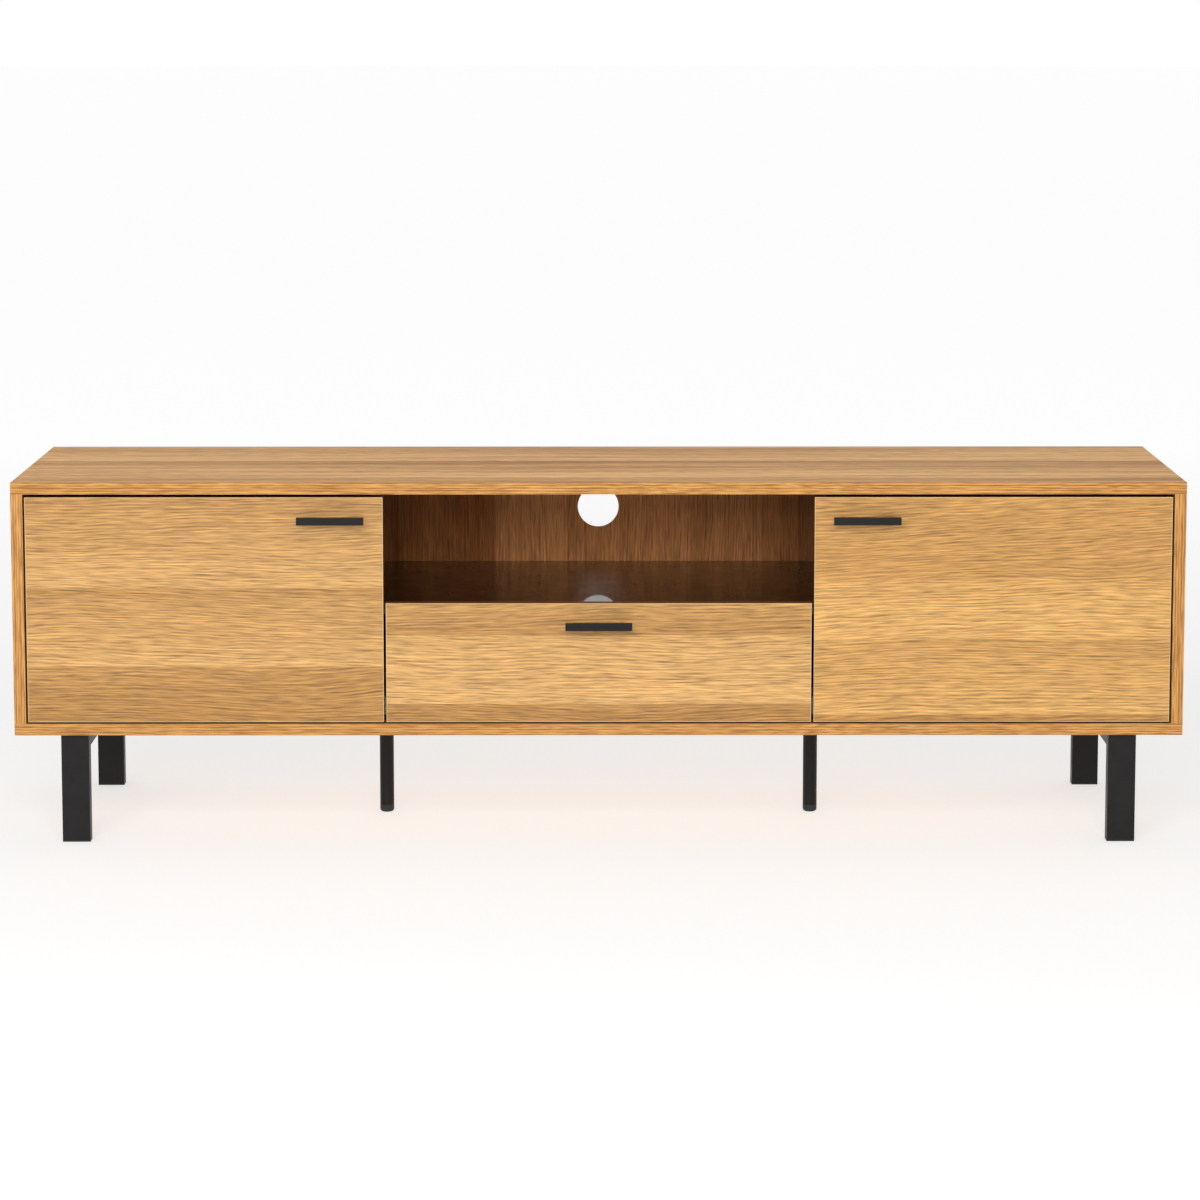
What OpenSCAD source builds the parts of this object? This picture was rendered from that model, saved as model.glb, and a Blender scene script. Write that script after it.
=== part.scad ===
/* TV stand: a wide low cabinet with two hinged doors, an open compartment and a drawer, on metal legs. */
/* X runs along the width, Y from the front (low) to the back, Z up from the floor. Millimetres.       */

/* [Cabinet] */
// Overall width of the cabinet
body_w = 1600; // [1400:10:1800]
// Depth of the cabinet boards
body_d = 400; // [390:10:500]
// Height from the floor to the top face
body_h = 500; // [480:5:560]
// Height of the clear space under the cabinet
leg_h = 151; // [130:1:180]
// Thickness of the carcass boards and fronts
board_t = 16; // [16:1:18]
// Clear width of the middle bay
bay_w = 588; // [560:2:700]

/* [Fronts] */
// Gap above the doors
gap_top = 4; // [2:0.5:5]
// Gap below the doors and the drawer front
gap_bottom = 2.5; // [2:0.5:4]
// Gap between a door and its side panel
gap_side = 2.8; // [2.8:0.1:3.2]
// Gap between a door and the drawer front
gap_middle = 3.4; // [2:0.2:5]
// Height of the drawer front
drawer_front_h = 164.5; // [150:0.5:170]
// Angle to which a door opens
door_open = 0; // [0:1:95]
// Distance by which the drawer is pulled out
drawer_open = 0; // [0:1:265]

/* [Handles] */
// Length of a handle bar
handle_l = 91; // [80:1:140]
// Distance from the front to the outer face of the bar
handle_out = 25; // [22:1:35]
// Distance from a door's free edge to its handle
handle_inset = 25; // [20:1:60]
// Height of the door handles' centre line above the floor
door_handle_z = 450; // [420:1:460]
// Height of the drawer handle's centre line above the floor
drawer_handle_z = 305; // [300:1:306]

/* [Legs] */
// Width of the rectangular leg tube, seen from the front
tube_w = 38; // [30:1:50]
// Depth of the rectangular leg tube, and height of the rail
tube_d = 19; // [18:1:25]
// Distance from the cabinet's end to the outer face of a leg
leg_inset_x = 62; // [40:1:120]
// Distance from the cabinet's front and back to the legs
leg_inset_y = 10; // [0:1:30]
// Diameter of the middle legs
middle_leg_dia = 20; // [18:1:30]

/* [Cable hole] */
// Diameter of the hole in the middle back panel
cable_dia = 60; // [40:1:70]
// Height of its centre above the floor
cable_z = 413; // [400:1:440]

/* [Hidden] */

$fn = 48;
eps = 1; // how far a cutter runs past a face

// Carcass. The cabinet's front plane is y = 0 here, and place() moves it so that the
// origin is under the middle of the whole object, handles included.
front_y = handle_out - (body_d + handle_out) / 2;
side_x = body_w / 2 - board_t;          // inner face of a side panel
part_x = bay_w / 2;                     // face of a partition towards the middle bay
part_mid = part_x + board_t / 2;
floor_z = leg_h + board_t;              // top face of the bottom panel
roof_z = body_h - board_t;              // underside of the top panel
inner_y = board_t + 1.5;                // front edge of partitions and middle shelf
shelf_top = floor_z + gap_bottom + drawer_front_h - 2;
shelf_mid = shelf_top - board_t / 2;

// Back panels and their grooves
back_t = 3;
back_y = body_d - 12;                   // front face of a back panel
groove_w = 3.2;
groove_d = 5;
back_bite = 4.7;                        // how far a back panel reaches into a groove

// Cam fittings and dowels
end_cam_y = [70, body_d - 55];
end_dowel_y = [120, body_d - 105];
shelf_cam_y = [110, body_d - 80];
shelf_dowel_y = [160, body_d - 130];
cam_r = 7.5;
cam_h = 12.5;
cam_back = 34;                          // from the board's end to the cam's centre
cam_bolt_r = 2.5;                       // threaded end in the other board
cam_shank_r = 3.5;
cam_bite = 11;
cam_slot_r = 3.6;
dowel_r = 4;
dowel_bite = 11;
dowel_l = 30;

// Adjustable shelves and their pins
side_shelf_y = 40;
side_shelf_gap = 1;
side_shelf_z = 318;
pin_r = 2.5;
pin_deep = 8;
pin_out = 8;
pin_y = [side_shelf_y + 40, body_d - 60];
pin_row = [-32, 0, 32];
pin_z = side_shelf_z - pin_r;

// Doors
door_w = side_x - gap_side - part_x;
door_z0 = floor_z + gap_bottom;
door_z1 = roof_z - gap_top;
hinge_z = [door_z0 + 70, door_z1 - 70];
bumper_z = [door_z0 + 30, door_z1 - 30];
bumper_r = 4;
bumper_h = 1.4;

// Hinges: x is measured from the side panel's inner face, y from the cabinet's front
pivot = [22, 8.5];
hinge_pin_r = 1.5;
hinge_pin_half = 16.9;
hinge_play = 0.05;
cup_x = 25.3;
cup_r = 17.5;
cup_deep = 12;
cup_wall = 0.8;
cup_flange_r = 19;
cup_flange_t = 1.2;
cup_screw = [31, 24];                   // x, and distance above and below the cup's centre
knuckle_r = 3.2;
arm_half = 9;
arm_t = 2.5;
arm_bend_r = 22.9;
arm_from = 38;                          // direction in which the arm leaves the pin
arm_to = 127.6;                         // direction at which the bend meets the straight part
arm_x = 6;
arm_end_y = 78;
plate_y = [40, 76];
plate_half = 24;
plate_t = 2;
rib_half = 6;
plate_screw_y = board_t + 37;
plate_screw_z = 16;
arm_screw_y = 68;

// Screws
wood_screw_r = 1.75;
wood_screw_bite = 11;
wood_screw_head = [3.2, 1];             // radius, height
m4_r = 2;
m4_head = [4, 2.5];
handle_screw_bite = 12;

// Handles
bar_h = 10;
bar_d = 8;
post_w = 6.5;
post_drop = 1.5;                        // the posts and their screws lie this far below the bar's middle
handle_holes = 64;
handle_x = part_x + handle_inset + handle_l / 2;

// Leg frames and middle legs
tube_wall = 1.5;
foot_t = 2;
plug_h = 12;
leg_x = body_w / 2 - leg_inset_x - tube_w;      // inner face of a leg
rear_leg_y = body_d - leg_inset_y - tube_d;
rail_y = [leg_inset_y + tube_d, rear_leg_y];
rail_screw_y = [70, body_d / 2, body_d - 70];
rail_screw_bite = 12;
middle_r = middle_leg_dia / 2;
middle_foot_h = 10;
middle_cap = 6;
middle_bolt_r = 4;
middle_bolt_bite = 12;
middle_bolt_down = 18;

// Drawer box
drawer_w = bay_w - 2 * gap_middle;
runner_gap = 12.5;
box_x = part_x - runner_gap;            // outer face of a drawer side
box_t = 12;
box_l = 350;
box_z0 = floor_z + 13;
box_z1 = box_z0 + 110;
bottom_z = box_z0 + 10;
box_back_y = board_t + box_l - box_t;
box_cam_z = [bottom_z + 25, box_z1 - 25];
box_cam_back = 24;
box_cam_r = 6;
box_cam_h = 10;
back_screw_r = 2.5;
back_screw_l = 40;
back_screw_head = [4, 3];

// Roller runners: x is measured from the partition's face towards the drawer
metal_t = 1.2;
runner_y = [22, 372];
runner_z = box_z0 - 4;                  // underside of the cabinet member
roller_r = 9;
roller_gap = 0.3;
roller_pin_r = 2;
roller_play = 0.05;
roller_z = runner_z + metal_t + roller_gap + roller_r;
lip_z = roller_z + roller_r + roller_gap;
runner_top = lip_z + metal_t + 2 + metal_t;
flange_w = 9.5;
front_roller_y = runner_y[0] + 12;
rear_roller_y = board_t + box_l - 14;
flange_y = front_roller_y + roller_r + 3; // front end of the cabinet member's flanges
front_roller_x = [2.6, 8.6];
rear_roller_x = [2.8, 8.8];
runner_screw_y = [60, 190, 350];
pin_head = [3.5, 0.7];

// Positions of everything that moves: the doors swing and the drawer slides for display
module place() { translate([0, front_y, 0]) children(); }
module mirrored(right) { mirror([right ? 1 : 0, 0, 0]) children(); }
module on_door(right) {
    place() mirrored(right) translate([pivot[0] - side_x, pivot[1], 0]) rotate([0, 0, -door_open])
        translate([side_x - pivot[0], -pivot[1], 0]) children();
}
module on_drawer() { place() translate([0, -drawer_open, 0]) children(); }
module both_sides() { for (right = [false, true]) mirrored(right) children(); }

// Colours
module oak() { color("#d2a263") children(); }
module dark_wood() { color("#3a2017") children(); }
module black_metal() { color("#26272a") children(); }
module steel() { color("#b9bbbe") children(); }
module white_paint() { color("#ebe9e3") children(); }
module white_plastic() { color("#e8e6df") children(); }
module black_plastic() { color("#1d1d1f") children(); }
module beech() { color("#cfa877") children(); }
module liner() { color("#c9b79a") children(); }

// Basic shapes
module block(from, to) { translate(from) cube(to - from); }
module rod_x(at, r, l) { translate(at) rotate([0, 90, 0]) cylinder(r = r, h = l); }
module rod_y(at, r, l) { translate(at) rotate([-90, 0, 0]) cylinder(r = r, h = l); }
module rod_z(at, r, l) { translate(at) cylinder(r = r, h = l); }

// A cam lock's hole or body: its axis is Z, its mouth is at z = 0, and it reaches down
module cam_shape(r, h) { translate([0, 0, -h]) cylinder(r = r, h = h); }

// Fitting holes in the end of an upright board that is centred on x: cams open towards dir
module upright_end_cuts(x, dir, z_end, up) {
    for (y = end_cam_y) {
        translate([x + dir * board_t / 2, y, z_end - up * cam_back]) rotate([0, dir * 90, 0])
            cam_shape(cam_r, cam_h);
        rod_z([x, y, min(z_end, z_end - up * cam_back)], cam_shank_r, cam_back);
    }
    for (y = end_dowel_y)
        rod_z([x, y, up > 0 ? z_end - (dowel_l - dowel_bite) : z_end], dowel_r, dowel_l - dowel_bite);
}

// Fitting holes in the face of the top or bottom panel, above or below one upright board
module panel_face_cuts(x, z_face, up) {
    for (y = end_cam_y) rod_z([x, y, up > 0 ? z_face : z_face - cam_bite], cam_bolt_r, cam_bite);
    for (y = end_dowel_y) rod_z([x, y, up > 0 ? z_face : z_face - dowel_bite], dowel_r, dowel_bite);
}

// The four uprights, from left to right: [centre x, direction in which the cams open]
uprights = [[-side_x - board_t / 2, 1], [-part_mid, -1], [part_mid, 1], [side_x + board_t / 2, -1]];

module back_groove_flat(z) {
    block([-side_x - groove_d, back_y, z], [side_x + groove_d, back_y + groove_w, z + groove_d]);
}

module top_panel() {
    oak() place() difference() {
        block([-body_w / 2, 0, roof_z], [body_w / 2, body_d, body_h]);
        back_groove_flat(roof_z);
        for (u = uprights) panel_face_cuts(u[0], roof_z, 1);
    }
}

module bottom_panel() {
    oak() place() difference() {
        block([-body_w / 2, 0, leg_h], [body_w / 2, body_d, floor_z]);
        back_groove_flat(floor_z - groove_d);
        for (u = uprights) panel_face_cuts(u[0], floor_z, -1);
        both_sides() {
            for (y = rail_screw_y) rod_z([-leg_x - tube_w / 2, y, leg_h], m4_r, rail_screw_bite);
            rod_z([-part_mid, body_d / 2, leg_h], middle_bolt_r, middle_bolt_bite);
        }
    }
}

module side_panel(right) {
    oak() place() mirrored(right) difference() {
        block([-body_w / 2, 0, floor_z], [-side_x, body_d, roof_z]);
        block([-side_x - groove_d, back_y, floor_z], [-side_x, back_y + groove_w, roof_z]);
        upright_end_cuts(-side_x - board_t / 2, 1, roof_z, 1);
        upright_end_cuts(-side_x - board_t / 2, 1, floor_z, -1);
        for (y = pin_y, dz = pin_row) rod_x([-side_x - pin_deep, y, pin_z + dz], pin_r, pin_deep);
        for (z = hinge_z, dz = [-plate_screw_z, plate_screw_z])
            rod_x([-side_x - wood_screw_bite, plate_screw_y, z + dz], wood_screw_r, wood_screw_bite);
    }
}

module partition(right) {
    dark_wood() place() mirrored(right) difference() {
        block([-part_x - board_t, inner_y, floor_z], [-part_x, body_d, roof_z]);
        block([-part_x - groove_d, back_y, floor_z], [-part_x, back_y + groove_w, roof_z]);
        block([-part_x - board_t, back_y, floor_z], [-part_x - board_t + groove_d, back_y + groove_w, roof_z]);
        upright_end_cuts(-part_mid, -1, roof_z, 1);
        upright_end_cuts(-part_mid, -1, floor_z, -1);
        for (y = shelf_cam_y) rod_x([-part_x - cam_bite, y, shelf_mid], cam_bolt_r, cam_bite);
        for (y = shelf_dowel_y) rod_x([-part_x - dowel_bite, y, shelf_mid], dowel_r, dowel_bite);
        for (y = pin_y, dz = pin_row) rod_x([-part_x - board_t, y, pin_z + dz], pin_r, pin_deep);
        for (y = runner_screw_y) rod_x([-part_x - wood_screw_bite, y, roller_z], wood_screw_r, wood_screw_bite);
    }
}

module left_side_panel() { side_panel(false); }
module right_side_panel() { side_panel(true); }
module left_partition() { partition(false); }
module right_partition() { partition(true); }

module centre_shelf() {
    dark_wood() place() difference() {
        block([-part_x, inner_y, shelf_top - board_t], [part_x, back_y, shelf_top]);
        both_sides() {
            for (y = shelf_cam_y) {
                translate([-part_x + cam_back, y, shelf_top - board_t]) mirror([0, 0, 1])
                    cam_shape(cam_r, cam_h);
                rod_x([-part_x, y, shelf_mid], cam_shank_r, cam_back);
            }
            for (y = shelf_dowel_y) rod_x([-part_x, y, shelf_mid], dowel_r, dowel_l - dowel_bite);
        }
    }
}

module side_shelf(right) {
    oak() place() mirrored(right)
        block([-side_x + side_shelf_gap, side_shelf_y, side_shelf_z],
              [-part_x - board_t - side_shelf_gap, back_y - side_shelf_gap, side_shelf_z + board_t]);
}
module left_shelf() { side_shelf(false); }
module right_shelf() { side_shelf(true); }

module shelf_pins() {
    steel() place() both_sides() for (y = pin_y) {
        rod_x([-side_x - pin_deep, y, pin_z], pin_r, pin_deep + pin_out);
        rod_x([-part_x - board_t - pin_out, y, pin_z], pin_r, pin_deep + pin_out);
    }
}

module back_sheet(x0, x1) {
    block([x0 - back_bite, back_y, floor_z - back_bite], [x1 + back_bite, back_y + back_t, roof_z + back_bite]);
}
module side_back(right) {
    oak() place() mirrored(right) back_sheet(-side_x, -part_x - board_t);
}
module left_back_panel() { side_back(false); }
module right_back_panel() { side_back(true); }
module centre_back_panel() {
    oak() place() difference() {
        back_sheet(-part_x, part_x);
        rod_y([0, back_y - eps, cable_z], cable_dia / 2, back_t + 2 * eps, $fn = 96);
    }
}

// A cam bolt along +Z: the threaded end is below z = 0, and the shank reaches into the cam
module cam_bolt(reach, bite) {
    translate([0, 0, -bite]) cylinder(r = cam_bolt_r, h = bite);
    cylinder(r = cam_shank_r - 0.5, h = reach - 1);
}
module cam_bolts() {
    steel() place() {
        for (u = uprights, y = end_cam_y) {
            translate([u[0], y, roof_z]) mirror([0, 0, 1]) cam_bolt(cam_back, cam_bite);
            translate([u[0], y, floor_z]) cam_bolt(cam_back, cam_bite);
        }
        both_sides() for (y = shelf_cam_y)
            translate([-part_x, y, shelf_mid]) rotate([0, 90, 0]) cam_bolt(cam_back, cam_bite);
    }
}

// A cam lock with the slot that takes the bolt: its mouth is at z = 0, and the bolt comes along +X
module cam_lock(r, h, bolt_depth, slot_r) {
    difference() {
        cam_shape(r, h);
        translate([-r - eps, 0, -bolt_depth]) rotate([0, 90, 0]) cylinder(r = slot_r, h = r + eps);
        translate([-r * 0.6, -0.6, -1]) cube([r * 1.2, 1.2, 1]);
        translate([-0.6, -r * 0.6, -1]) cube([1.2, r * 1.2, 1]);
    }
}
module cam_locks() {
    steel() place() {
        for (u = uprights, y = end_cam_y) {
            translate([u[0] + u[1] * board_t / 2, y, roof_z - cam_back]) rotate([0, u[1] * 90, 0])
                rotate([0, 0, u[1] > 0 ? 0 : 180]) cam_lock(cam_r, cam_h, board_t / 2, cam_slot_r);
            translate([u[0] + u[1] * board_t / 2, y, floor_z + cam_back]) rotate([0, u[1] * 90, 0])
                rotate([0, 0, u[1] > 0 ? 180 : 0]) cam_lock(cam_r, cam_h, board_t / 2, cam_slot_r);
        }
        both_sides() for (y = shelf_cam_y)
            translate([-part_x + cam_back, y, shelf_top - board_t]) rotate([180, 0, 0])
                cam_lock(cam_r, cam_h, board_t / 2, cam_slot_r);
    }
}

module dowels() {
    beech() place() {
        for (u = uprights, y = end_dowel_y) {
            rod_z([u[0], y, roof_z - (dowel_l - dowel_bite)], dowel_r, dowel_l);
            rod_z([u[0], y, floor_z - dowel_bite], dowel_r, dowel_l);
        }
        both_sides() for (y = shelf_dowel_y) rod_x([-part_x - dowel_bite, y, shelf_mid], dowel_r, dowel_l);
    }
}

// Hinges
module at_hinges() { for (z = hinge_z) translate([-side_x, 0, z]) children(); }

module hinge_plates() {
    steel() place() both_sides() at_hinges() difference() {
        union() {
            block([0, plate_y[0] + 6, -plate_half], [plate_t, plate_y[1] - 10, plate_half]);
            block([0, plate_y[0], -rib_half], [arm_x, plate_y[1], rib_half]);
        }
        for (dz = [-plate_screw_z, plate_screw_z])
            rod_x([-eps, plate_screw_y, dz], wood_screw_r, plate_t + 2 * eps);
        rod_x([plate_t, arm_screw_y, 0], m4_r, arm_x);
    }
}

module hinge_arms() {
    steel() place() both_sides() at_hinges() difference() {
        union() {
            translate([pivot[0], pivot[1], -arm_half]) {
                cylinder(r = knuckle_r, h = 2 * arm_half);
                rotate([0, 0, arm_from]) translate([0, -arm_t / 2, 0])
                    cube([arm_bend_r + arm_t - 0.05, arm_t, 2 * arm_half]);
                rotate([0, 0, arm_from]) rotate_extrude(angle = arm_to - arm_from, $fn = 96)
                    translate([arm_bend_r, 0]) square([arm_t, 2 * arm_half]);
            }
            block([arm_x, 26.5, -arm_half], [arm_x + arm_t, arm_end_y, arm_half]);
        }
        rod_z([pivot[0], pivot[1], -arm_half - eps], hinge_pin_r + hinge_play, 2 * arm_half + 2 * eps);
        rod_x([arm_x - eps, arm_screw_y, 0], m4_r, arm_t + 2 * eps);
    }
}

// Screws that hold the hinge plates, the hinge arms and the cabinet runners
module hardware_screws() {
    steel() place() both_sides() {
        at_hinges() {
            for (dz = [-plate_screw_z, plate_screw_z]) {
                rod_x([-wood_screw_bite, plate_screw_y, dz], wood_screw_r, wood_screw_bite + plate_t);
                rod_x([plate_t, plate_screw_y, dz], wood_screw_head[0], wood_screw_head[1]);
            }
            rod_x([plate_t, arm_screw_y, 0], m4_r, arm_x - plate_t + arm_t);
            rod_x([arm_x + arm_t, arm_screw_y, 0], m4_head[0], m4_head[1]);
        }
        for (y = runner_screw_y) {
            rod_x([-part_x - wood_screw_bite, y, roller_z], wood_screw_r, wood_screw_bite + metal_t);
            rod_x([-part_x + metal_t, y, roller_z], wood_screw_head[0], wood_screw_head[1]);
        }
    }
}

// Leg frames
module leg(right, y) {
    black_metal() place() mirrored(right) difference() {
        block([-leg_x - tube_w, y, foot_t], [-leg_x, y + tube_d, leg_h]);
        block([-leg_x - tube_w + tube_wall, y + tube_wall, foot_t - eps],
              [-leg_x - tube_wall, y + tube_d - tube_wall, leg_h - tube_wall]);
    }
}
module left_front_leg() { leg(false, leg_inset_y); }
module left_rear_leg() { leg(false, rear_leg_y); }
module right_front_leg() { leg(true, leg_inset_y); }
module right_rear_leg() { leg(true, rear_leg_y); }

module leg_rail(right) {
    black_metal() place() mirrored(right) difference() {
        block([-leg_x - tube_w, rail_y[0], leg_h - tube_d], [-leg_x, rail_y[1], leg_h]);
        block([-leg_x - tube_w + tube_wall, rail_y[0] - eps, leg_h - tube_d + tube_wall],
              [-leg_x - tube_wall, rail_y[1] + eps, leg_h - tube_wall]);
        for (y = rail_screw_y) {
            rod_z([-leg_x - tube_w / 2, y, leg_h - tube_wall - eps], m4_r, tube_wall + 2 * eps);
            rod_z([-leg_x - tube_w / 2, y, leg_h - tube_d - eps], m4_head[0] + 1, tube_wall + 2 * eps);
        }
    }
}
module left_leg_rail() { leg_rail(false); }
module right_leg_rail() { leg_rail(true); }

module leg_frame_screws() {
    steel() place() both_sides() for (y = rail_screw_y) {
        rod_z([-leg_x - tube_w / 2, y, leg_h - tube_wall], m4_r, tube_wall + rail_screw_bite);
        rod_z([-leg_x - tube_w / 2, y, leg_h - tube_wall - m4_head[1]], m4_head[0], m4_head[1]);
    }
}

// Plastic end plugs of the leg tubes, and the round feet of the middle legs
module leg_feet() {
    black_plastic() place() both_sides() {
        for (y = [leg_inset_y, rear_leg_y]) {
            block([-leg_x - tube_w, y, 0], [-leg_x, y + tube_d, foot_t]);
            block([-leg_x - tube_w + tube_wall, y + tube_wall, foot_t],
                  [-leg_x - tube_wall, y + tube_d - tube_wall, foot_t + plug_h]);
        }
        translate([-part_mid, body_d / 2, 0]) {
            rotate_extrude() intersection() {
                square([middle_r, middle_foot_h]);
                union() {
                    translate([middle_r - 4, 4]) circle(r = 4);
                    square([middle_r - 4, middle_foot_h]);
                    translate([0, 4]) square([middle_r, middle_foot_h]);
                }
            }
            rod_z([0, 0, middle_foot_h], middle_r - tube_wall, plug_h);
        }
    }
}

module middle_legs() {
    black_metal() place() both_sides() translate([-part_mid, body_d / 2, 0]) difference() {
        rod_z([0, 0, middle_foot_h], middle_r, leg_h - middle_foot_h);
        rod_z([0, 0, middle_foot_h - eps], middle_r - tube_wall, leg_h - middle_foot_h - middle_cap + eps);
        rod_z([0, 0, leg_h - middle_cap - eps], middle_bolt_r, middle_cap + 2 * eps);
    }
}

module middle_leg_bolts() {
    steel() place() both_sides()
        rod_z([-part_mid, body_d / 2, leg_h - middle_bolt_down], middle_bolt_r,
              middle_bolt_down + middle_bolt_bite);
}

// Runners: the cabinet members are channels on the partitions, and the drawer members are
// rails under the drawer sides. Each has a roller that carries the other.
module at_runner() { translate([-part_x, 0, 0]) children(); }

module cabinet_runners() {
    white_paint() place() both_sides() at_runner() difference() {
        union() {
            block([0, runner_y[0], runner_z], [metal_t, runner_y[1], runner_top]);
            block([0, flange_y, runner_z], [flange_w, runner_y[1], runner_z + metal_t]);
            block([0, flange_y, runner_top - metal_t], [flange_w, runner_y[1], runner_top]);
        }
        for (y = runner_screw_y) rod_x([-eps, y, roller_z], wood_screw_r, metal_t + 2 * eps);
        rod_x([-eps, front_roller_y, roller_z], roller_pin_r, metal_t + 2 * eps);
    }
}

module drawer_runners() {
    white_paint() on_drawer() both_sides() at_runner() difference() {
        union() {
            block([runner_gap - metal_t, board_t, box_z0 - metal_t],
                  [runner_gap, board_t + box_l, lip_z + metal_t]);
            block([front_roller_x[0], board_t + 2, lip_z], [runner_gap, board_t + box_l, lip_z + metal_t]);
            block([runner_gap - metal_t, board_t, box_z0 - metal_t],
                  [runner_gap + box_t, board_t + box_l, box_z0]);
        }
        rod_x([runner_gap - metal_t - eps, rear_roller_y, roller_z], roller_pin_r, metal_t + 2 * eps);
    }
}

// A roller turns on a pin that is riveted into its runner
module roller(x, y) {
    difference() {
        rod_x([x[0], y, roller_z], roller_r, x[1] - x[0]);
        rod_x([x[0] - eps, y, roller_z], roller_pin_r + roller_play, x[1] - x[0] + 2 * eps);
    }
}
module left_cabinet_roller() { white_plastic() place() at_runner() roller(front_roller_x, front_roller_y); }
module right_cabinet_roller() {
    white_plastic() place() mirrored(true) at_runner() roller(front_roller_x, front_roller_y);
}
module left_drawer_roller() { white_plastic() on_drawer() at_runner() roller(rear_roller_x, rear_roller_y); }
module right_drawer_roller() {
    white_plastic() on_drawer() mirrored(true) at_runner() roller(rear_roller_x, rear_roller_y);
}

module cabinet_roller_pins() {
    steel() place() both_sides() at_runner() {
        rod_x([0, front_roller_y, roller_z], roller_pin_r, front_roller_x[1] + 0.2);
        rod_x([front_roller_x[1] + 0.2, front_roller_y, roller_z], pin_head[0], pin_head[1]);
    }
}
module drawer_roller_pins() {
    steel() on_drawer() both_sides() at_runner() {
        rod_x([rear_roller_x[0] - 0.2, rear_roller_y, roller_z], roller_pin_r,
              runner_gap - rear_roller_x[0] + 0.2);
        rod_x([rear_roller_x[0] - 0.2 - 0.3, rear_roller_y, roller_z], pin_head[0], 0.3);
    }
}

module door_bumpers() {
    white_plastic() place() both_sides() for (z = bumper_z)
        rod_y([-part_mid, inner_y - bumper_h, z], bumper_r, bumper_h);
}

// Handles: a bar on two posts, screwed on from behind the front
module handle_at(x, z) {
    translate([x, 0, z]) difference() {
        union() {
            block([-handle_l / 2, -handle_out, -bar_h / 2], [handle_l / 2, bar_d - handle_out, bar_h / 2]);
            for (s = [-1, 1]) translate([s * handle_holes / 2, 0, -post_drop])
                block([-post_w / 2, bar_d - handle_out, -post_w / 2], [post_w / 2, 0, post_w / 2]);
        }
        for (s = [-1, 1])
            rod_y([s * handle_holes / 2, -handle_screw_bite, -post_drop], m4_r, handle_screw_bite + eps);
    }
}
module handle_screws_at(x, z) {
    for (s = [-1, 1]) translate([x + s * handle_holes / 2, 0, z - post_drop]) {
        rod_y([0, -handle_screw_bite, 0], m4_r, handle_screw_bite + board_t);
        rod_y([0, board_t, 0], m4_head[0], m4_head[1]);
    }
}
module handle_holes_at(x, z) {
    for (s = [-1, 1]) rod_y([x + s * handle_holes / 2, -eps, z - post_drop], m4_r + 0.5, board_t + 2 * eps);
}

// Doors
module door_panel(right) {
    oak() on_door(right) difference() {
        block([-part_x - door_w, 0, door_z0], [-part_x, board_t, door_z1]);
        handle_holes_at(-handle_x, door_handle_z);
        at_hinges() {
            rod_y([cup_x, board_t - cup_deep, 0], cup_r, cup_deep);
            for (s = [-1, 1])
                rod_y([cup_screw[0], board_t - wood_screw_bite, s * cup_screw[1]], wood_screw_r,
                      wood_screw_bite);
        }
    }
}
module left_door_panel() { door_panel(false); }
module right_door_panel() { door_panel(true); }

module left_door_handle() { black_metal() on_door(false) handle_at(-handle_x, door_handle_z); }
module right_door_handle() { black_metal() on_door(true) handle_at(-handle_x, door_handle_z); }
module left_handle_screws() { steel() on_door(false) handle_screws_at(-handle_x, door_handle_z); }
module right_handle_screws() { steel() on_door(true) handle_screws_at(-handle_x, door_handle_z); }

module hinge_cups(right) {
    steel() on_door(right) at_hinges() difference() {
        union() {
            rod_y([cup_x, board_t - cup_deep, 0], cup_r, cup_deep);
            rod_y([cup_x, board_t, 0], cup_flange_r, cup_flange_t);
            block([cup_x - 2, board_t, -cup_screw[1] - 5],
                  [cup_screw[0] + 5, board_t + cup_flange_t, cup_screw[1] + 5]);
        }
        rod_y([cup_x, board_t - cup_deep + cup_wall, 0], cup_r - cup_wall, cup_deep + cup_flange_t);
        rod_z([pivot[0], pivot[1], -hinge_pin_half], hinge_pin_r, 2 * hinge_pin_half);
        for (s = [-1, 1])
            rod_y([cup_screw[0], board_t - eps, s * cup_screw[1]], wood_screw_r, cup_flange_t + 2 * eps);
    }
}
module left_hinge_cups() { hinge_cups(false); }
module right_hinge_cups() { hinge_cups(true); }

module hinge_pins(right) {
    steel() on_door(right) at_hinges()
        rod_z([pivot[0], pivot[1], -hinge_pin_half], hinge_pin_r, 2 * hinge_pin_half);
}
module left_hinge_pins() { hinge_pins(false); }
module right_hinge_pins() { hinge_pins(true); }

module cup_screws(right) {
    steel() on_door(right) at_hinges() for (s = [-1, 1]) {
        rod_y([cup_screw[0], board_t - wood_screw_bite, s * cup_screw[1]], wood_screw_r,
              wood_screw_bite + cup_flange_t);
        rod_y([cup_screw[0], board_t + cup_flange_t, s * cup_screw[1]], wood_screw_head[0], wood_screw_head[1]);
    }
}
module left_cup_screws() { cup_screws(false); }
module right_cup_screws() { cup_screws(true); }

// Drawer
module bottom_groove() {
    block([-box_x + box_t - groove_d, board_t - groove_d, bottom_z],
          [box_x - box_t + groove_d, box_back_y + groove_d, bottom_z + groove_w]);
}

module drawer_front() {
    oak() on_drawer() difference() {
        block([-drawer_w / 2, 0, door_z0], [drawer_w / 2, board_t, door_z0 + drawer_front_h]);
        bottom_groove();
        handle_holes_at(0, drawer_handle_z);
        both_sides() for (z = box_cam_z)
            rod_y([-box_x + box_t / 2, board_t - cam_bite, z], cam_bolt_r, cam_bite);
    }
}

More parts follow.
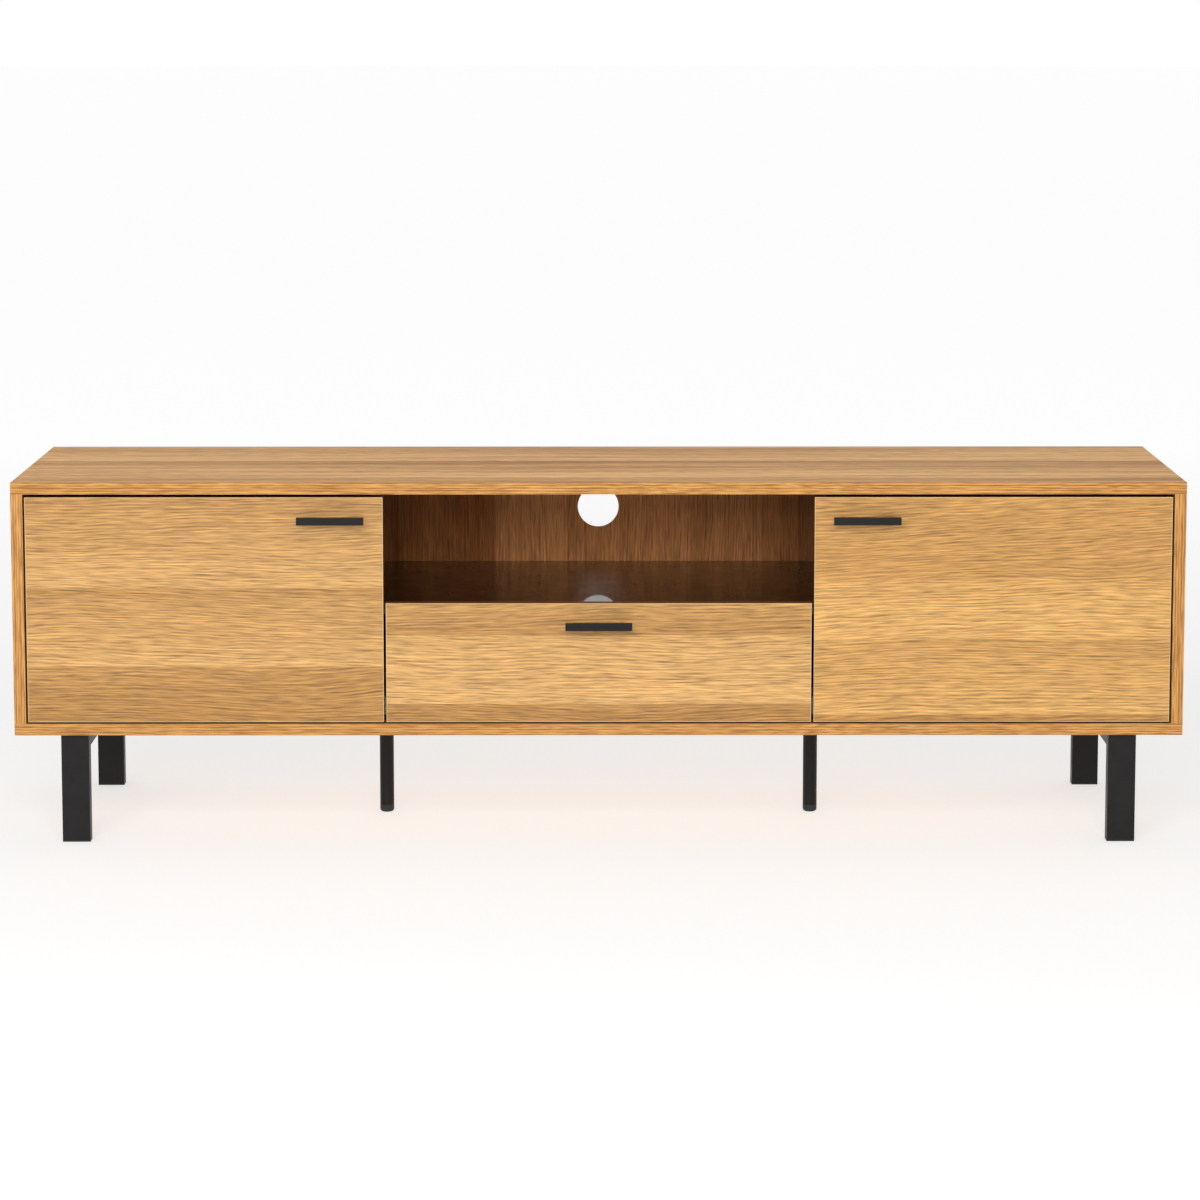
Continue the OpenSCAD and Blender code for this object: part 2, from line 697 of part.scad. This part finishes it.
module drawer_side(right) {
    liner() on_drawer() mirrored(right) difference() {
        block([-box_x, board_t, box_z0], [-box_x + box_t, board_t + box_l, box_z1]);
        bottom_groove();
        for (z = box_cam_z) {
            translate([-box_x + box_t, board_t + box_cam_back, z]) rotate([0, 90, 0])
                cam_shape(box_cam_r, box_cam_h);
            rod_y([-box_x + box_t / 2, board_t, z], cam_shank_r, box_cam_back);
            rod_x([-box_x, box_back_y + box_t / 2, z], back_screw_head[0], back_screw_head[1]);
            rod_x([-box_x, box_back_y + box_t / 2, z], back_screw_r, box_t);
        }
    }
}
module drawer_left_side() { drawer_side(false); }
module drawer_right_side() { drawer_side(true); }

module drawer_back() {
    liner() on_drawer() difference() {
        block([-box_x + box_t, box_back_y, box_z0], [box_x - box_t, box_back_y + box_t, box_z1]);
        bottom_groove();
        both_sides() for (z = box_cam_z)
            rod_x([-box_x + box_t, box_back_y + box_t / 2, z], back_screw_r, back_screw_l - box_t);
    }
}

module drawer_bottom() {
    liner() on_drawer()
        block([-box_x + box_t - back_bite, board_t - back_bite, bottom_z],
              [box_x - box_t + back_bite, box_back_y + back_bite, bottom_z + back_t]);
}

module drawer_handle() { black_metal() on_drawer() handle_at(0, drawer_handle_z); }
module drawer_handle_screws() { steel() on_drawer() handle_screws_at(0, drawer_handle_z); }

module drawer_screws() {
    steel() on_drawer() both_sides() for (z = box_cam_z) {
        rod_x([-box_x, box_back_y + box_t / 2, z], back_screw_head[0], back_screw_head[1]);
        rod_x([-box_x + back_screw_head[1], box_back_y + box_t / 2, z], back_screw_r,
              back_screw_l - back_screw_head[1]);
    }
}

module drawer_cam_fittings() {
    steel() on_drawer() both_sides() for (z = box_cam_z) {
        translate([-box_x + box_t / 2, board_t, z]) rotate([-90, 0, 0]) cam_bolt(box_cam_back, cam_bite);
        translate([-box_x + box_t, board_t + box_cam_back, z]) rotate([0, 90, 0]) rotate([0, 0, 90])
            cam_lock(box_cam_r, box_cam_h, box_t / 2, cam_slot_r);
    }
}

top_panel();
bottom_panel();
left_side_panel();
right_side_panel();
left_partition();
right_partition();
centre_shelf();
left_shelf();
right_shelf();
shelf_pins();
left_back_panel();
centre_back_panel();
right_back_panel();
cam_bolts();
cam_locks();
dowels();
hinge_plates();
hinge_arms();
hardware_screws();
left_front_leg();
left_rear_leg();
left_leg_rail();
right_front_leg();
right_rear_leg();
right_leg_rail();
leg_feet();
leg_frame_screws();
middle_legs();
middle_leg_bolts();
cabinet_runners();
cabinet_roller_pins();
left_cabinet_roller();
right_cabinet_roller();
door_bumpers();
left_door_panel();
left_door_handle();
left_handle_screws();
left_hinge_cups();
left_hinge_pins();
left_cup_screws();
right_door_panel();
right_door_handle();
right_handle_screws();
right_hinge_cups();
right_hinge_pins();
right_cup_screws();
drawer_front();
drawer_left_side();
drawer_right_side();
drawer_back();
drawer_bottom();
drawer_handle();
drawer_handle_screws();
drawer_screws();
drawer_cam_fittings();
drawer_runners();
drawer_roller_pins();
left_drawer_roller();
right_drawer_roller();
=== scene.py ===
"""Looks of the TV stand: procedural materials, soft edges, floor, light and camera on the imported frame."""

import math

import bmesh
import bpy
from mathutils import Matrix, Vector


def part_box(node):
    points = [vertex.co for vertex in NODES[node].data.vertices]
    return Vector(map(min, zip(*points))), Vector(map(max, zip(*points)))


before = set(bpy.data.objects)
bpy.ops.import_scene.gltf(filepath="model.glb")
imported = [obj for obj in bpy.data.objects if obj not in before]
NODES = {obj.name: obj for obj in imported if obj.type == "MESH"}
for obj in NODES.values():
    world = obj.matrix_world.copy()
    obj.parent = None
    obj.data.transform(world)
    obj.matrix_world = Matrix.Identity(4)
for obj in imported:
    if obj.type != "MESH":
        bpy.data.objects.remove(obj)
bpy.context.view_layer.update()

MM = 0.001


# ---------------------------------------------------------------- shader helpers


def linear(r, g, b):
    """An sRGB colour, 0 to 255, as the linear RGBA that shaders take."""
    return (*(((c / 255 + 0.055) / 1.055) ** 2.4 if c > 10 else c / 255 / 12.92 for c in (r, g, b)), 1.0)


class Shader:
    """A material, or the world, with short calls that add and join nodes."""

    def __init__(self, name, kind="materials", end="Principled BSDF"):
        self.owner = getattr(bpy.data, kind).new(name)
        self.owner.use_nodes = True
        self.tree = self.owner.node_tree
        self.end = self.tree.nodes[end]

    def put(self, socket, value):
        if isinstance(value, bpy.types.NodeSocket):
            self.tree.links.new(value, socket)
        else:
            socket.default_value = value

    def node(self, kind, inputs=None, out=0, **settings):
        made = self.tree.nodes.new("ShaderNode" + kind)
        for key, value in settings.items():
            setattr(made, key, value)
        for key, value in (inputs or {}).items():
            self.put(made.inputs[key], value)
        return made.outputs[out]

    def math(self, operation, *values):
        return self.node("Math", dict(enumerate(values)), operation=operation)

    def add(self, *values):
        total = values[0]
        for value in values[1:]:
            total = self.math("ADD", total, value)
        return total

    def mul(self, *values):
        total = values[0]
        for value in values[1:]:
            total = self.math("MULTIPLY", total, value)
        return total

    def place(self, kind="Object"):
        """Three values: the piece's own coordinates in metres, or Generated, the direction in the world."""
        split = self.tree.nodes.new("ShaderNodeSeparateXYZ")
        self.put(split.inputs[0], self.node("TexCoord", out=kind))
        return list(split.outputs)

    def vector(self, x, y, z):
        return self.node("CombineXYZ", {0: x, 1: y, 2: z})

    def noise(self, vector, scale=1.0, detail=2.0, roughness=0.5):
        values = {"Vector": vector, "Scale": scale, "Detail": detail, "Roughness": roughness}
        return self.node("TexNoise", values)

    def spread(self, value, low, high, to_low=0.0, to_high=1.0):
        values = {"Value": value, "From Min": low, "From Max": high, "To Min": to_low, "To Max": to_high}
        return self.node("MapRange", values)

    def mix(self, share, a, b, blend="MIX", clamp=True):
        made = self.tree.nodes.new("ShaderNodeMix")
        made.data_type, made.blend_type, made.clamp_factor = "RGBA", blend, clamp
        for key, value in (("Factor_Float", share), ("A_Color", a), ("B_Color", b)):
            socket = next(s for s in made.inputs if s.identifier == key)
            self.put(socket, value)
        return next(s for s in made.outputs if s.identifier == "Result_Color")

    def ramp(self, value, stops):
        """A grey ramp through (place, grey) stops."""
        made = self.tree.nodes.new("ShaderNodeValToRGB")
        points = made.color_ramp.elements
        while len(points) < len(stops):
            points.new(1.0)
        for point, (place, grey) in zip(points, stops):
            point.position, point.color = place, (grey, grey, grey, 1.0)
        self.put(made.inputs[0], value)
        return made.outputs[0]

    def random(self, value):
        """Three random numbers from 0 to 1 for each whole value."""
        split = self.tree.nodes.new("ShaderNodeSeparateColor")
        noise = self.node("TexWhiteNoise", {"W": value}, out="Color", noise_dimensions="1D")
        self.put(split.inputs[0], noise)
        return list(split.outputs)

    def bump(self, height, distance, strength=1.0):
        return self.node("Bump", {"Height": height, "Distance": distance, "Strength": strength}, out="Normal")

    def finish(self, **sockets):
        """Sets the sockets of the surface or the background, and gives the material or world."""
        for key, value in sockets.items():
            self.put(self.end.inputs[key.replace("_", " ")], value)
        return self.owner


# ---------------------------------------------------------------- materials

X, Y, Z = 0, 1, 2
OAK_LIGHT = linear(214, 167, 103)
OAK_DARK = linear(177, 129, 69)
OAK_PORE = linear(118, 84, 46)
EDGE_LIGHT = linear(222, 162, 86)
EDGE_DARK = linear(156, 102, 43)
# Cream of the fronts' outlines: a painted highlight where their edges catch the light.
PAINTED_RIM_HIGHLIGHT = linear(226, 192, 140)
# Dark brown of the doors' side faces: painted shade in the gaps round the doors.
GAP_SHADE_BROWN = linear(70, 44, 25)
# Red-brown of the drawer front's side faces: its edge band, darkened with painted shade in the gaps.
BAND_RED_AND_GAP_SHADE = linear(118, 72, 42)

# Radians per metre of the fine lines across a board's faces and across its edge band.
LINE_RATE = 1500.0
THREAD_RATE = 1750.0


def oak(name, box, along, across, planks, seed=0.0, shade=None, inner=None, band=None, edge=False, rough=0.45,
        gloss=0.4, rise=0.0, broad=0.08, contrast=1.15):
    """Oak decor foil with the grain along one axis and the planks side by side across another.

    planks: (share of the board where it starts, tone there, tone at its other side), from dark 0 to light 1
    shade, front tint: tints of the whole board and of its front face only; on the top panel the shade
    lightens the wood as a painted sheen, and on the centre back the front tint darkens the face as painted
    shade of the compartment
    band: colour of a front's side faces, dark as painted shade in the gaps; the front also gets a thin cream
    outline, a painted highlight
    edge: whether the board's front edge has the orange edge band
    rise, broad, contrast: climb of the grain lines, strength of the wide bands, spread of the planks' tones
    """
    s = Shader(name)
    xyz = s.place()
    a, b, c = xyz[along], xyz[across], xyz[3 - along - across]
    low, high = box
    share = s.spread(b, low[across], high[across])
    number = s.add(0.0, *(s.math("GREATER_THAN", share, start) for start, *_ in planks[1:]))
    tone = s.ramp(share, [stop for plank in plank_stops(planks) for stop in plank])
    tone = s.spread(tone, 0.0, 1.0, 0.5 - contrast / 2, 0.5 + contrast / 2)
    random = s.random(s.add(number, seed))

    a = s.add(a, s.mul(random[0], 4.0), seed)
    slope = s.add(s.mul(s.add(random[1], -0.5), 0.03), -rise)
    wave = s.noise(s.vector(s.mul(a, 1.9), s.mul(b, 6.0), s.mul(c, 6.0)), detail=1.0)
    ripple = s.noise(s.vector(s.mul(a, 9.0), s.mul(b, 45.0), s.mul(c, 45.0)), detail=1.0)
    line = s.add(b, s.mul(a, slope), s.mul(s.add(wave, -0.5), 0.05), s.mul(s.add(ripple, -0.5), 0.004))

    def grain(length, width, detail):
        """Noise drawn out along the grain into streaks of about that length and width in metres."""
        at = s.vector(s.mul(a, 1 / length), s.mul(line, 1 / width), s.add(number, s.mul(c, 1 / width)))
        return s.noise(at, detail=detail, roughness=0.6)

    bands = s.spread(grain(0.9, 0.020, 1.0), 0.3, 0.7, -broad, broad)
    streaks = grain(0.22, 0.0027, 2.0)
    dashes = grain(0.03, 0.0019, 1.0)
    lines = s.math("SINE", s.add(s.mul(line, LINE_RATE), s.mul(grain(0.12, 0.011, 2.0), 14.0)))
    strength = s.spread(grain(0.05, 0.008, 1.0), 0.3, 0.7, 0.02, 0.26)
    fine = s.add(1.0, s.mul(lines, strength), s.spread(streaks, 0.3, 0.7, -0.14, 0.14),
                 s.spread(dashes, 0.3, 0.7, -0.26, 0.26))
    colour = s.mix(s.add(tone, bands), OAK_DARK, OAK_LIGHT, clamp=False)
    colour = s.mix(1.0, colour, fine, "MULTIPLY")
    pores = s.spread(dashes, 0.22, 0.36, 0.3, 0.0)
    colour = s.mix(pores, colour, OAK_PORE)
    # Tint of the whole board; on the top panel it lightens the wood as a painted sheen.
    if shade:
        colour = s.mix(1.0, colour, shade, "MULTIPLY")
    # Tint of the front face only; on the centre back it darkens and reddens the face, the darkening being
    # painted shade of the compartment.
    if inner:
        front = front_mask(s, xyz, box, 0.5 * MM)
        colour = s.mix(front, colour, s.mix(1.0, colour, inner, "MULTIPLY"))
    if edge:
        front = front_mask(s, xyz, box, 0.5 * MM)
        threads = s.math("SINE", s.add(s.mul(c, THREAD_RATE), s.mul(grain(0.12, 0.011, 2.0), 7.0)))
        threads = s.add(s.mul(threads, s.spread(grain(0.07, 0.02, 1.0), 0.3, 0.7, 0.1, 0.4)),
                        s.spread(streaks, 0.3, 0.7, 0.2, 0.8), s.spread(dashes, 0.3, 0.7, -0.35, 0.35))
        colour = s.mix(front, colour, s.mix(threads, EDGE_DARK, EDGE_LIGHT))
    # Painted highlight: a cream line round the front's outline. Painted shade: the dark colour of its side
    # faces, in the gaps.
    if band:
        front = front_mask(s, xyz, box, 0.4 * MM)
        outline = rim_mask(s, xyz, box)
        colour = s.mix(s.mul(outline, front, 0.6), colour, PAINTED_RIM_HIGHLIGHT)
        colour = s.mix(s.mul(outline, s.math("SUBTRACT", 1.0, front), 0.9), colour, band)
    relief = s.add(s.mul(pores, -1.0), s.mul(streaks, 0.5))
    return s.finish(Base_Color=colour, Roughness=s.spread(streaks, 0.3, 0.7, rough + 0.06, rough - 0.06),
                    Specular_IOR_Level=gloss, Normal=s.bump(relief, 0.0002, 0.5))


def plank_stops(planks):
    """The colour ramp's stops that give each plank its two tones, with a hard seam to the next."""
    ends = [start for start, *_ in planks[1:]] + [1.0]
    for (start, first, last), end in zip(planks, ends):
        yield (start, first), (end - 0.004, last)


def front_mask(s, xyz, box, depth):
    """1 on the board's front face and as far as that depth behind it."""
    return s.math("LESS_THAN", xyz[Y], box[0][Y] + depth)


def rim_mask(s, xyz, box):
    """1 on a front's side faces and along its outline, where the painted highlight of the outline and the
    dark side-face colour with painted gap shade go.
    """
    (low, high), width = box, 1.2 * MM
    parts = []
    for axis in (X, Z):
        middle, half = (low[axis] + high[axis]) / 2, (high[axis] - low[axis]) / 2
        away = s.math("ABSOLUTE", s.add(xyz[axis], -middle))
        parts.append(s.spread(away, half - width, half - width * 0.6))
    return s.math("MAXIMUM", *parts)


def dark_foil_and_shade():
    """Very dark brown foil with a clear gloss coat, faintly grained; on the partitions its darkness is
    painted shade of the compartment.
    """
    s = Shader("dark_foil_and_shade")
    x, y, z = s.place()
    grain = s.noise(s.vector(s.mul(x, 9.0), s.mul(y, 260.0), z), detail=3.0)
    wear = s.noise(s.vector(s.mul(x, 30.0), s.mul(y, 30.0), z), detail=3.0)
    colour = s.mix(s.spread(grain, 0.35, 0.65), linear(8, 5, 4), linear(16, 10, 7))
    return s.finish(Base_Color=colour, Roughness=s.spread(wear, 0.3, 0.7, 0.32, 0.42), Specular_IOR_Level=0.3,
                    Coat_Weight=0.85, Coat_Roughness=0.03, Normal=s.bump(grain, 0.00005, 0.3))


def powder_coat(name="black_metal", colour=(19, 17, 17)):
    """Matt black powder coat with a fine orange-peel texture."""
    s = Shader(name)
    x, y, z = s.place()
    peel = s.noise(s.vector(x, y, z), scale=1400.0, detail=2.0)
    scuff = s.noise(s.vector(x, y, z), scale=26.0, detail=4.0, roughness=0.7)
    r, g, b = colour
    shade = s.mix(s.spread(scuff, 0.35, 0.7), linear(r - 5, g - 5, b - 5), linear(r + 7, g + 6, b + 6))
    return s.finish(Base_Color=shade, Roughness=s.spread(scuff, 0.3, 0.7, 0.40, 0.54),
                    Specular_IOR_Level=0.28, Normal=s.bump(peel, 0.00004, 0.6))


def plated_steel():
    """Nickel-plated steel with fine brush marks."""
    s = Shader("plated_steel")
    x, y, z = s.place()
    marks = s.noise(s.vector(s.mul(x, 300.0), s.mul(y, 300.0), s.mul(z, 3000.0)), detail=2.0)
    stain = s.noise(s.vector(x, y, z), scale=60.0, detail=3.0)
    colour = s.mix(stain, linear(176, 174, 168), linear(206, 205, 200))
    return s.finish(Base_Color=colour, Metallic=1.0, Roughness=s.spread(marks, 0.3, 0.7, 0.22, 0.38),
                    Normal=s.bump(marks, 0.00002, 0.4))


def moulded(name, colour, rough):
    """Moulded plastic or epoxy paint with a faint mottle."""
    s = Shader(name)
    x, y, z = s.place()
    mottle = s.noise(s.vector(x, y, z), scale=180.0, detail=3.0)
    grain = s.noise(s.vector(x, y, z), scale=2200.0, detail=1.0)
    r, g, b = colour
    shade = s.mix(s.spread(mottle, 0.3, 0.7), linear(r * 0.93, g * 0.93, b * 0.92), linear(r, g, b))
    return s.finish(Base_Color=shade, Roughness=s.spread(mottle, 0.3, 0.7, rough, rough + 0.12),
                    Normal=s.bump(grain, 0.00003, 0.4))


def dress(material, *names):
    for name in names:
        mesh = NODES[name].data
        mesh.materials.clear()
        mesh.materials.append(material)


def dress_board(name, along, across, planks, **looks):
    dress(oak("oak_" + name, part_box(name), along, across, planks, **looks), name)


def dress_carcass():
    """The visible planks of each board, with the seams and tones that the foil's print gives it; the centre
    back's outer planks also darken towards its two sides, which is painted shade of the corners.
    """
    plain = ((0.0, 0.3, 0.6), (0.3, 0.4, 0.7), (0.6, 0.2, 0.5))
    # The top panel's tint lightens its wood: a painted sheen.
    dress_board("top_panel", X, Y, ((0.0, 0.35, 0.3), (0.14, 0.85, 0.1), (0.59, 0.9, 0.35)), seed=3.2,
                edge=True, rough=0.52, gloss=0.3, broad=0.5, contrast=1.5, shade=(1.55, 1.5, 1.55, 1.0))
    dress_board("bottom_panel", X, Y, plain, seed=1.7, edge=True)
    for side, seed in (("left", 5.1), ("right", 8.4)):
        dress_board(side + "_side_panel", Z, Y, plain, seed=seed, edge=True)
        dress_board(side + "_shelf", X, Y, plain, seed=seed + 1, edge=True)
        dress_board(side + "_back_panel", Z, X, plain, seed=seed + 2)
    # Centre back: the print's plank tones, with the outer planks darkening towards the sides as painted shade
    # of the corners.
    back = ((0.0, 0.0, 0.1), (0.097, 0.05, 0.0), (0.249, 0.6, 0.85), (0.425, 0.55, 0.8), (0.6, 0.8, 0.8),
            (0.726, 0.6, 0.7), (0.902, 0.45, 0.2))
    # Its front face is darkened and reddened: painted shade of the compartment.
    dress_board("centre_back_panel", Z, X, back, seed=2.6, rough=0.62, gloss=0.2, broad=0.2, contrast=1.7,
                inner=(0.88, 0.65, 0.61, 1.0))
    # The shelf is dark foil; the partitions are made dark as painted shade of the compartment.
    dress(dark_foil_and_shade(), "centre_shelf", "left_partition", "right_partition")


def dress_fronts():
    # The fronts' side faces take dark band colours as painted shade in the gaps.
    dress_board("left_door_panel", X, Z, ((0.0, 0.05, 0.2), (0.25, 0.75, 0.2), (0.6, 0.7, 0.2)), seed=0.37,
                band=GAP_SHADE_BROWN)
    right = ((0.0, 0.1, 0.2), (0.035, 0.85, 0.5), (0.37, 0.9, 0.7), (0.63, 0.4, 0.35))
    dress_board("right_door_panel", X, Z, right, seed=4.85, band=GAP_SHADE_BROWN, shade=(1.0, 0.97, 0.86, 1.0),
                rise=0.02)
    dress_board("drawer_front", X, Z, ((0.0, 0.0, 0.15), (0.155, 0.85, 0.65), (0.735, 0.15, 0.3)), seed=9.42,
                band=BAND_RED_AND_GAP_SHADE)


def dress_rest():
    metal = powder_coat()
    dress(metal, "left_front_leg", "left_rear_leg", "left_leg_rail", "right_front_leg", "right_rear_leg",
          "right_leg_rail")
    # A darker, warmer black than the legs: on the handles its warm tint is a painted reflection of the oak
    # fronts, and on the middle legs its extra darkness is painted shade under the cabinet.
    dress(powder_coat("black_handle", (13, 9, 8)), "left_door_handle", "right_door_handle", "drawer_handle",
          "middle_legs")
    steel = plated_steel()
    dress(steel, "cam_bolts", "cam_locks", "hinge_plates", "hinge_arms", "hardware_screws",
          "leg_frame_screws", "middle_leg_bolts", "shelf_pins", "cabinet_roller_pins", "drawer_roller_pins",
          "drawer_screws", "drawer_cam_fittings", "drawer_handle_screws", "left_handle_screws",
          "right_handle_screws", "left_hinge_cups", "right_hinge_cups", "left_hinge_pins",
          "right_hinge_pins", "left_cup_screws", "right_cup_screws")
    dress(moulded("runner_paint", (226, 224, 216), 0.3), "cabinet_runners", "drawer_runners")
    dress(moulded("white_plastic", (232, 230, 222), 0.45), "left_cabinet_roller", "right_cabinet_roller",
          "left_drawer_roller", "right_drawer_roller", "door_bumpers")
    dress(moulded("black_plastic", (30, 30, 31), 0.5), "leg_feet")
    for name, along in (("drawer_back", X), ("drawer_left_side", Y), ("drawer_right_side", Y)):
        dress_board(name, along, Z, ((0.0, 0.4, 0.6),), seed=7.7)
    dress_board("drawer_bottom", X, Y, ((0.0, 0.4, 0.6),), seed=6.1)
    dress_board("dowels", Z, Y, ((0.0, 0.5, 0.7),), seed=2.2)


def soften(name, width):
    """Breaks a CAD node's sharp edges with a small bevel."""
    bevel = NODES[name].modifiers.new("soft_edges", "BEVEL")
    bevel.width, bevel.segments = width, 2
    bevel.limit_method, bevel.angle_limit = "ANGLE", math.radians(50)
    bevel.harden_normals = True


def soften_all():
    for name in NODES:
        if name.endswith(("_handle", "_leg", "_rail")):
            soften(name, 0.9 * MM)
        elif name.endswith(("_panel", "_partition", "_shelf", "_front")) and "back" not in name:
            soften(name, 0.5 * MM)


# ---------------------------------------------------------------- stage, light and camera


def make_floor():
    mesh = bpy.data.meshes.new("floor")
    made = bmesh.new()
    bmesh.ops.create_circle(made, cap_ends=True, radius=60.0, segments=96)
    made.to_mesh(mesh)
    made.free()
    floor = bpy.data.objects.new("floor", mesh)
    bpy.context.scene.collection.objects.link(floor)
    s = Shader("floor")
    x, y, z = s.place()
    away = s.node("VectorMath", {0: s.vector(x, y, 0.0)}, out="Value", operation="LENGTH")
    # The floor glows less within a few metres of the cabinet: a painted soft shadow round it, which also
    # lights the cabinet less from below.
    mesh.materials.append(s.finish(Base_Color=(0.5, 0.5, 0.5, 1), Roughness=0.9, Emission_Color=(1, 1, 1, 1),
                                   Emission_Strength=s.spread(away, 1.2, 4.5, 0.61, 0.74)))


def make_world():
    """A white studio, brightest at the horizon, and dimmer towards the ceiling and in front of the object."""
    s = Shader("studio", "worlds", "Background")
    x, y, z = s.place("Generated")
    fade = s.ramp(z, ((0.0, 1.0), (0.26, 0.62), (1.0, 0.42)))
    dimmed = s.mul(s.spread(y, -0.5, 0.2, 0.45, 0.0), s.spread(z, 0.0, 0.12))
    bpy.context.scene.world = s.finish(Color=fade, Strength=s.math("SUBTRACT", 1.0, dimmed))


def make_light():
    """One wide, soft light in front, above and a little to the left."""
    data = bpy.data.lights.new("key", "AREA")
    data.shape, data.size, data.size_y = "RECTANGLE", 3.0, 1.9
    data.energy = 110
    light = bpy.data.objects.new("key", data)
    bpy.context.scene.collection.objects.link(light)
    light.location = (-0.5, -4.0, 2.1)
    target = Vector((0, 0, 0.35))
    light.rotation_euler = (target - light.location).to_track_quat("-Z", "Y").to_euler()


def make_camera():
    """A long lens a little above the top, tilted down and shifted, so that uprights stay nearly upright."""
    data = bpy.data.cameras.new("camera")
    data.sensor_width = 36.0
    data.lens = 107.65
    data.shift_y = -0.15
    camera = bpy.data.objects.new("camera", data)
    bpy.context.scene.collection.objects.link(camera)
    camera.location = (-0.0104, -5.0213, 1.1491)
    camera.rotation_euler = (math.radians(90) - 0.116, 0.0, -0.0025)
    data.clip_start, data.clip_end = 0.1, 200.0
    bpy.context.scene.camera = camera


dress_carcass()
dress_fronts()
dress_rest()
soften_all()
make_floor()
make_world()
make_light()
make_camera()
bpy.context.scene.view_settings.view_transform = "Standard"
